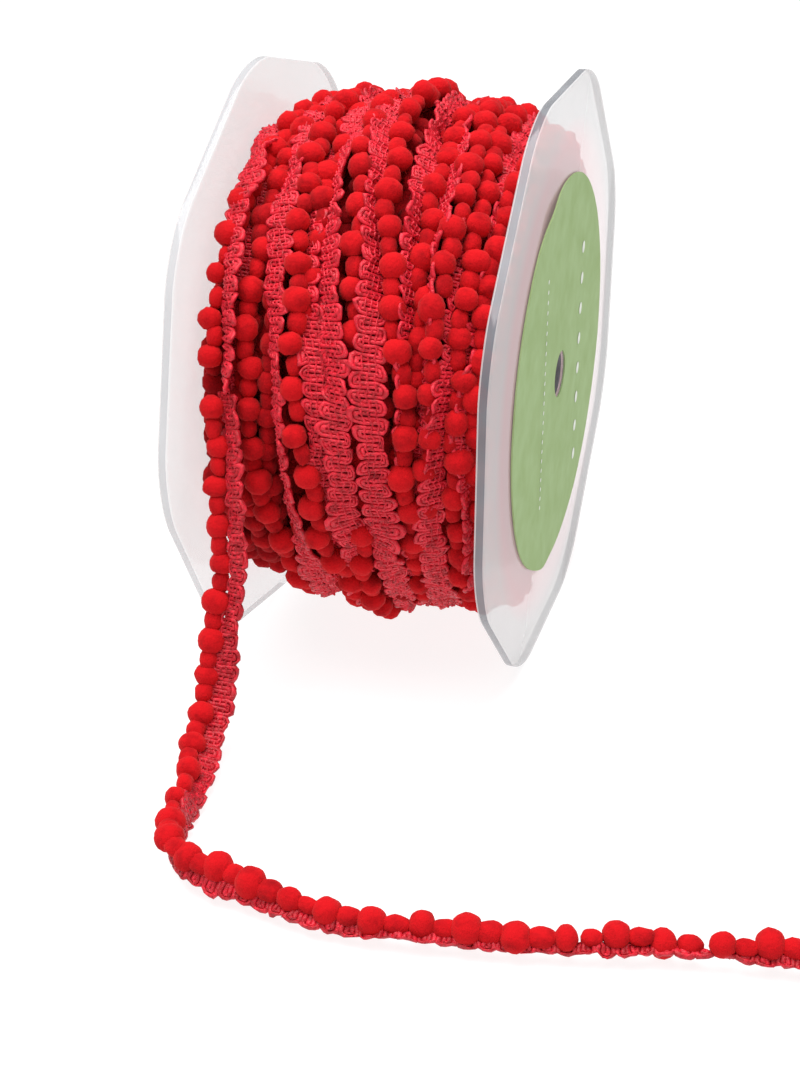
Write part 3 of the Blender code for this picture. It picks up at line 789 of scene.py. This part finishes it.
# A painted pink ring where the trim lies behind the plates: painted light of the lit trim seen
# through them.
place = nodes.new("ShaderNodeTexCoord")
spread = nodes.new("ShaderNodeVectorMath")
spread.operation = "MULTIPLY_ADD"
spread.inputs[1].default_value = (0.0, 1.0, 1.0)
spread.inputs[2].default_value = (0.0, 0.0, -AXIS_HEIGHT)
links.new(place.outputs["Object"], spread.inputs[0])
reach = nodes.new("ShaderNodeVectorMath")
reach.operation = "LENGTH"
links.new(spread.outputs["Vector"], reach.inputs[0])
near = nodes.new("ShaderNodeMapRange")
near.inputs["From Min"].default_value = PAINTED_BLUSH_FROM
near.inputs["From Max"].default_value = PAINTED_BLUSH_TO
near.inputs["To Min"].default_value = 1.0
near.inputs["To Max"].default_value = 0.0
links.new(reach.outputs["Value"], near.inputs["Value"])
painted_blush = nodes.new("ShaderNodeMix")
painted_blush.data_type = "RGBA"
links.new(near.outputs["Result"], painted_blush.inputs["Factor"])
links.new(shader.inputs["Base Color"].links[0].from_socket, painted_blush.inputs[MIX_FIRST])
painted_blush.inputs[MIX_SECOND].default_value = (*PLATE_PAINTED_BLUSH, 1.0)
links.new(painted_blush.outputs[MIX_RESULT], shader.inputs["Base Color"])
# Painted light: the plates glow.
shader.inputs["Emission Color"].default_value = (*PLATE_PAINTED_GLOW, 1.0)
shader.inputs["Emission Strength"].default_value = PLATE_PAINTED_GLOW_STRENGTH
far_plastic = plastic.copy()
far_plastic.name = "far_clear_plastic"
far_plastic.node_tree.nodes[shader.name].inputs["Alpha"].default_value = FAR_PLATE_ALPHA
rim_plastic, shader = plastic_material("plate_rim", RIM_PAINTED_GREY, RIM_PAINTED_DARK, RIM_ALPHA)
far_rim_plastic, shader = plastic_material("far_plate_rim", FAR_RIM_PAINTED_GREY, FAR_RIM_PAINTED_DARK,
                                           FAR_RIM_ALPHA)


def make_plate(name, node, turn_degrees, finish, rim_finish):
    """One plate: a rounded octagon ring, pulled to its thickness, its edges softly rounded."""
    low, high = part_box(node)
    bm = bmesh.new()
    half_side = math.pi / PLATE_SIDES
    bmesh.ops.create_circle(bm, cap_ends=False, segments=PLATE_SIDES,
                            radius=PLATE_APOTHEM / math.cos(half_side),
                            matrix=Matrix.Rotation(half_side, 4, "Z"))
    bmesh.ops.bevel(bm, geom=bm.verts[:], affect="VERTICES", profile=0.5, material=-1,
                    offset=PLATE_CORNER_RADIUS * math.tan(half_side), segments=PLATE_CORNER_STEPS)
    rim = bm.edges[:]
    bmesh.ops.create_circle(bm, cap_ends=False, segments=len(rim), radius=BORE_RADIUS)
    bore = [edge for edge in bm.edges if edge not in rim]
    bmesh.ops.bridge_loops(bm, edges=rim + bore)
    grown = bmesh.ops.extrude_face_region(bm, geom=bm.faces[:])["geom"]
    raised = [part for part in grown if isinstance(part, bmesh.types.BMVert)]
    bmesh.ops.translate(bm, verts=raised, vec=(0.0, 0.0, PLATE_THICKNESS))
    place = Matrix.Translation((low.x, 0.0, AXIS_HEIGHT))
    turn = Matrix.Rotation(math.radians(turn_degrees), 4, "Z")
    bmesh.ops.transform(bm, verts=bm.verts,
                        matrix=place @ Matrix.Rotation(math.pi / 2, 4, "Y") @ turn)
    for vert in bm.verts:
        vert.co.z = max(vert.co.z, 0.0)
    bmesh.ops.recalc_face_normals(bm, faces=bm.faces)
    bm.normal_update()
    sides = [face for face in bm.faces if abs(face.normal.x) < 0.5]
    for face in sides:
        face.material_index = 1
    # Painted highlight: the rounded edges take the pale face material, not the rim's grey, for a
    # light line.
    corners = [edge for edge in bm.edges
               if len({abs(face.normal.x) < 0.5 for face in edge.link_faces}) == 2]
    bmesh.ops.bevel(bm, geom=corners, affect="EDGES", profile=0.5, material=0,
                    offset=PLATE_EDGE_ROUND, segments=3)
    plate = add_piece(name, bm, finish, rim_finish)
    plate.data.set_sharp_from_angle(angle=math.radians(30.0))
    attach(plate, "root")
    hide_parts(node)


make_plate("left_plate", "flange_left", -14.0, far_plastic, far_rim_plastic)
make_plate("right_plate", "flange_right", 0.0, plastic, rim_plastic)

# The core tube: a grey moulded tube that carries the winding; only its bore is seen, dark
# inside the label's hole.
CORE_GREY = (0.16, 0.155, 0.16)
CORE_DARK = (0.07, 0.068, 0.07)

core_material, shader = plastic_material("grey_core", CORE_GREY, CORE_DARK, alpha=1.0)
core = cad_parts["core"]
core.data.materials.clear()
core.data.materials.append(core_material)

# The label: a round of soft green paper glued to the right plate, its edge lifting a little at
# the upper left and the lower left. Two plain rows of dots are printed on it.
LABEL_RADIUS = 38.0 * MM
LABEL_FACE = 29.02 * MM                   # its back, along X
LABEL_THICKNESS = 0.28 * MM
LABEL_RINGS = (4.5, 9.0, 14.0, 19.0, 24.0, 28.0, 31.0, 33.0, 35.0, 36.5, 38.0)   # mm
LABEL_STEPS = 96
LABEL_GREEN = (0.335, 0.47, 0.195)
LABEL_PALE = (0.39, 0.535, 0.25)
LABEL_INK = (0.86, 0.90, 0.80)
Lift = namedtuple("Lift", "angle spread height")       # degrees from the top to the front, mm
LABEL_LIFTS = (Lift(20.0, 9.0, 0.45), Lift(160.0, 11.0, 0.60))
LABEL_LIFT_FROM = 27.0 * MM               # the glue holds inside this radius
LABEL_COCKLE = 0.10 * MM                  # how high its soft waves are
LABEL_COCKLE_LENGTH = 9.0 * MM
DotRow = namedtuple("DotRow", "y top bottom count radius")     # mm, but for the count
DOT_ROWS = (DotRow(-14.0, 23.0, -22.0, 24, 0.42), DotRow(17.0, 20.0, -24.0, 8, 1.2))
DOT_PROUD = 0.03 * MM
DOT_CORNERS = 12


def paper_material(name, colour, pale):
    """Uncoated paper: soft mottling, and its fibres in fine relief."""
    material, nodes, links, shader = new_material(name, colour, 0.85)
    fibres = nodes.new("ShaderNodeGroup")
    fibres.node_tree = FIBRES
    fibres.inputs["Fineness"].default_value = 1600.0
    fibres.inputs["Patches"].default_value = 160.0
    tint = nodes.new("ShaderNodeValToRGB")
    tint.color_ramp.elements[0].position = 0.3
    tint.color_ramp.elements[0].color = (*colour, 1.0)
    tint.color_ramp.elements[1].position = 0.7
    tint.color_ramp.elements[1].color = (*pale, 1.0)
    links.new(fibres.outputs["Shade"], tint.inputs["Fac"])
    links.new(tint.outputs["Color"], shader.inputs["Base Color"])
    bump = nodes.new("ShaderNodeBump")
    bump.inputs["Strength"].default_value = 0.25
    bump.inputs["Distance"].default_value = 0.1 * MM
    links.new(fibres.outputs["Height"], bump.inputs["Height"])
    links.new(bump.outputs["Normal"], shader.inputs["Normal"])
    return material


paper = paper_material("label_paper", LABEL_GREEN, LABEL_PALE)
ink = paper_material("label_ink", LABEL_INK, LABEL_INK)
bm = bmesh.new()
spoke = [bm.verts.new((LABEL_FACE, 0.0, AXIS_HEIGHT + radius * MM)) for radius in LABEL_RINGS]
edges = [bm.edges.new(pair) for pair in zip(spoke, spoke[1:])]
bmesh.ops.spin(bm, geom=spoke + edges, cent=(0.0, 0.0, AXIS_HEIGHT), axis=(1.0, 0.0, 0.0),
               angle=2 * math.pi, steps=LABEL_STEPS, use_merge=True)
grown = bmesh.ops.extrude_face_region(bm, geom=bm.faces[:])["geom"]
raised = [part for part in grown if isinstance(part, bmesh.types.BMVert)]
bmesh.ops.translate(bm, verts=raised, vec=(LABEL_THICKNESS, 0.0, 0.0))
for vert in bm.verts:
    reach = math.hypot(vert.co.y, vert.co.z - AXIS_HEIGHT)
    angle = math.degrees(math.atan2(-vert.co.y, vert.co.z - AXIS_HEIGHT)) % 360.0
    loose = max(reach - LABEL_LIFT_FROM, 0.0) / (LABEL_RADIUS - LABEL_LIFT_FROM)
    for lift in LABEL_LIFTS:
        near = math.exp(-((angle - lift.angle) / lift.spread) ** 2)
        vert.co.x += lift.height * MM * near * loose ** 2
    vert.co.x += (noise.noise(vert.co / LABEL_COCKLE_LENGTH) + 1.0) / 2 * LABEL_COCKLE
bmesh.ops.recalc_face_normals(bm, faces=bm.faces)
for row in DOT_ROWS:
    for height in np.linspace(row.top, row.bottom, row.count):
        middle = Vector((LABEL_FACE + LABEL_THICKNESS + LABEL_COCKLE + DOT_PROUD, row.y * MM,
                         AXIS_HEIGHT + height * MM))
        place = Matrix.Translation(middle) @ Matrix.Rotation(math.pi / 2, 4, "Y")
        first = len(bm.faces)
        bmesh.ops.create_circle(bm, cap_ends=True, segments=DOT_CORNERS, radius=row.radius * MM,
                                matrix=place)
        bm.faces.ensure_lookup_table()
        for face in bm.faces[first:]:
            face.material_index = 1
label = add_piece("label_sheet", bm, paper, ink)
label.data.set_sharp_from_angle(angle=math.radians(40.0))
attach(label, "root")
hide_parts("label")
